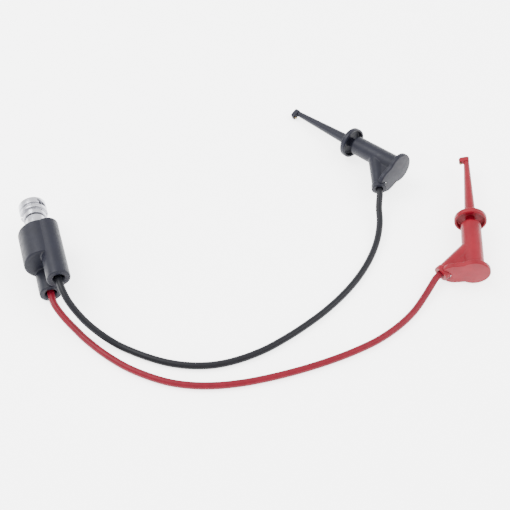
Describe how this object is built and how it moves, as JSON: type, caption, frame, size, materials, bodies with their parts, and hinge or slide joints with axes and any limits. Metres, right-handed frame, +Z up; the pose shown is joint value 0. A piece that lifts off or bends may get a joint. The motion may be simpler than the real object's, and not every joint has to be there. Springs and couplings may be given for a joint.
{
  "type": "BNC breakout test lead",
  "caption": "Breakout test lead: BNC plug on a moulded housing, with a black and a red lead to spring-loaded mini-hook clips.",
  "frame": {"origin": "centre of the bounding box's floor face, cords left out; the lead lies on z = 0", "axes": "+Y the way the BNC plug points, +Z up, +X from the housing towards the clips"},
  "size_m": [0.2523, 0.177, 0.0249],
  "materials": {
    "black_plastic": "fine satin moulding, slate black",
    "red_plastic": "satin moulding, bright red",
    "black_lead_jacket": "soft satin jacket",
    "red_lead_jacket": "soft satin jacket",
    "nickel_plate": "satin nickel plating",
    "gold_plate": "gold plating",
    "spring_steel": "bright drawn steel",
    "tinned_copper": "tinned",
    "white_ptfe": "waxy white",
    "grey_silicone": "matte",
    "shrink_sleeve": "matte"
  },
  "bodies": {
    "test_lead": {"black_clip_conductor": "tinned_copper", "black_clip_lead_tail": "black_lead_jacket", "black_clip_sleeve": "black_plastic", "black_contact_rod": "gold_plate", "black_hook_cover": "black_plastic", "black_inner_conductor": "tinned_copper", "black_lead": "black_lead_jacket", "black_lead_tail": "black_lead_jacket", "black_return_spring": "spring_steel", "black_rod_terminal": "tinned_copper", "black_shrink_sleeve": "shrink_sleeve", "black_spring_seat": "spring_steel", "black_thumb_pad": "black_plastic", "bnc_body": "nickel_plate", "bnc_centre_pin": "gold_plate", "bnc_dielectric": "white_ptfe", "bnc_gasket": "grey_silicone", "bnc_rear_insulator": "white_ptfe", "bnc_retaining_ring": "spring_steel", "connector_housing": "black_plastic", "ground_lug": "tinned_copper", "red_clip_conductor": "tinned_copper", "red_clip_lead_tail": "red_lead_jacket", "red_clip_sleeve": "red_plastic", "red_contact_rod": "gold_plate", "red_hook_cover": "red_plastic", "red_inner_conductor": "tinned_copper", "red_lead": "red_lead_jacket", "red_lead_tail": "red_lead_jacket", "red_return_spring": "spring_steel", "red_rod_terminal": "tinned_copper", "red_shrink_sleeve": "shrink_sleeve", "red_spring_seat": "spring_steel", "red_thumb_pad": "red_plastic"},
    "nut_carrier": {"bnc_wave_washer": "spring_steel"},
    "coupling_nut": {"bnc_coupling_nut": "nickel_plate"},
    "red_nose": {"red_clip_nose": "red_plastic"},
    "black_nose": {"black_clip_nose": "black_plastic"}
  },
  "joints": [
    {"name": "nut_pull", "type": "slide", "parent": "test_lead", "child": "nut_carrier", "axis": [0, 1, 0], "range_m": [0, 0.0007], "stiffness_N_per_m": 800, "springref_m": -0.0005, "deforming": ["bnc_wave_washer"]},
    {"name": "nut_turn", "type": "hinge", "parent": "nut_carrier", "child": "coupling_nut", "pos_m": [-0.1156, 0.03075, 0.0139], "axis": [0, 1, 0], "continuous": true},
    {"name": "red_clip_pull", "type": "slide", "parent": "test_lead", "child": "red_nose", "axis": [-0.3811, -0.9245, -0.0087], "range_m": [0, 0.005], "stiffness_N_per_m": 150, "springref_m": -0.01, "deforming": ["red_return_spring"]},
    {"name": "black_clip_pull", "type": "slide", "parent": "test_lead", "child": "black_nose", "axis": [0.4323, -0.8904, 0.1426], "range_m": [0, 0.005], "stiffness_N_per_m": 150, "springref_m": -0.01, "deforming": ["black_return_spring"]}
  ]
}
